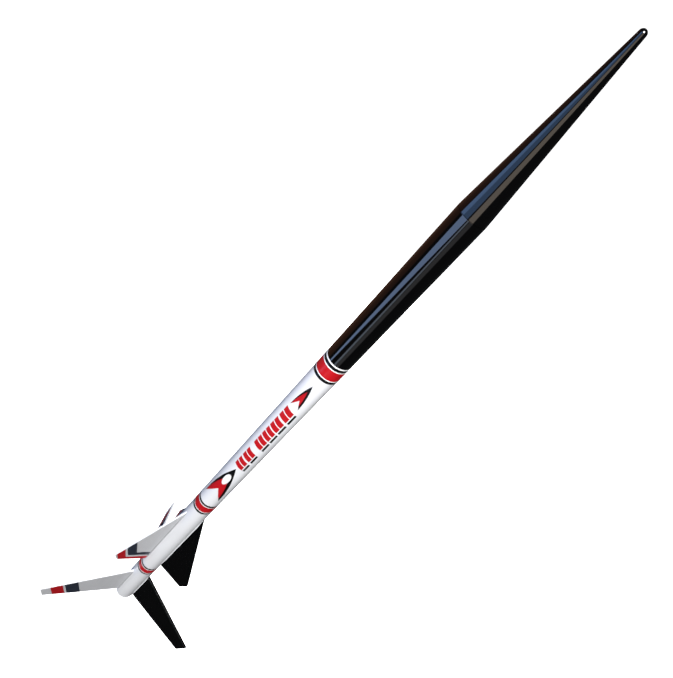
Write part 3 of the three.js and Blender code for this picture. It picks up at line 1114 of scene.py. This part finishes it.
def studio():
    """A pale floor that curves up into a pale backdrop all round."""
    look = Look("studio_paper", Roughness=1.0, Specular_IOR_Level=0.0)
    look.colour(look.ramp(look.noise(3), (0.0, (0.86, 0.86, 0.86)), (1.0, (0.9, 0.9, 0.9))))
    look.glow((1, 1, 1))
    reach, bend, height, steps = 9.0, 3.0, 8.0, 12
    profile = [(0, FLOOR_Z), (reach - bend, FLOOR_Z)]
    for i in range(1, steps + 1):
        turn = QUARTER_TURN * i / steps
        profile.append((reach - bend + bend * math.sin(turn), FLOOR_Z + bend - bend * math.cos(turn)))
    profile += [(reach, height), (reach * 0.6, height + 3), (0, height + 4)]
    points, faces = lathe_shape(profile, 96, closed=False)
    mesh = mesh_of("studio_floor", points, faces, [look.material])
    smooth(mesh)
    floor = put("studio_floor", mesh)
    floor.visible_diffuse = False
    floor.visible_glossy = False
    floor.visible_shadow = False


def softbox(name, place, target, size, power, colour):
    data = bpy.data.lights.new(name, "AREA")
    data.shape = "RECTANGLE"
    data.size, data.size_y = size
    data.energy = power
    data.color = colour
    obj = put(name, data)
    obj.location = place
    obj.rotation_mode = "QUATERNION"
    obj.rotation_quaternion = (Vector(target) - Vector(place)).to_track_quat("-Z", "Y")
    obj.visible_camera = False
    return obj


def lights():
    """A soft key high above the camera, and weaker fills that leave no glint."""
    world = bpy.data.worlds.new("studio_air")
    world.use_nodes = True
    background = world.node_tree.nodes["Background"]
    background.inputs["Color"].default_value = (0.9, 0.93, 1.0, 1)
    background.inputs["Strength"].default_value = 0.018
    bpy.context.scene.world = world
    middle = (0, 0, 0.62)
    softbox("key", polar(2.3, 19, 3.0), middle, (1.8, 1.8), 258, (1.0, 0.99, 0.98))
    fills = [
        softbox("fill_left", polar(2.0, -70, 0.9), middle, (1.2, 1.8), 15, (0.25, 0.45, 1.0)),
        softbox("fill_back", polar(2.4, 190, 1.2), middle, (1.6, 2.0), 50, (1, 1, 1)),
        softbox("fill_below", polar(0.8, 250, -0.42), middle, (1.6, 1.6), 6, (1, 1, 1)),
    ]
    for fill in fills:
        fill.visible_glossy = False


def gloss_cards():
    """The streaks of light in the gloss, as rows of (height, azimuth at one side, azimuth at the other)."""
    foot, joint, top = -0.45, 0.7, 1.6
    blue = [(foot, -36, -30), (-0.25, -36, -25), (0.04, -36, -14)]
    blue += [(0.33, -36, -4), (0.6, -38, 6), (joint, -38, 6)]
    card("blue_card", blue, (1.0, 1.45, 2.4))
    high = [(joint, -58, -32), (1.1, -54, -30), (1.35, -34, -14), (top, -28, -10)]
    card("blue_card_high", high, (0.62, 1.1, 2.1))
    high_dim = [(joint, -32, 3), (1.1, -30, 3), (1.35, -14, 6), (top, -10, 6)]
    card("blue_card_high_dim", high_dim, (0.3, 0.55, 1.05))
    card("grey_card", [(foot, 10, 24), (joint, 12, 20)], (0.8, 0.95, 1.15))
    card("dim_card", [(foot, 26, 50), (joint, 24, 50)], (0.26, 0.26, 0.27))
    card("warm_card", [(joint, 12, 46), (top, 12, 46)], (1.1, 0.95, 0.8))
    card("brown_card", [(foot, -150, -56), (top, -150, -64)], (0.11, 0.05, 0.032))


def card(name, rows, radiance, distance=1.2, steps=12):
    """A curved glowing card beside the rocket, which only gloss shows."""
    look = Look(name, Roughness=1.0, Specular_IOR_Level=0.0)
    look.shader.inputs["Base Color"].default_value = (0, 0, 0, 1)
    look.glow(radiance)
    points, faces = [], []
    for z, left, right in rows:
        points += [polar(distance, left + (right - left) * k / steps, z) for k in range(steps + 1)]
    for row in range(len(rows) - 1):
        for k in range(steps):
            a = row * (steps + 1) + k
            faces.append((a, a + 1, a + steps + 2, a + steps + 1))
    obj = put(name, mesh_of(name, points, faces, [look.material]))
    obj.visible_camera = False
    obj.visible_diffuse = False
    obj.visible_shadow = False


bpy.context.scene.view_settings.view_transform = "Standard"
camera()
studio()
lights()
gloss_cards()
body_tubes()
fins()
launch_lugs()
decals()
nose()
nose_base()
engine_case()
engine_nozzle()
engine_end_cap()
hook()
dress_cad_nodes()
parachute()
wadding()
cord_anchor()
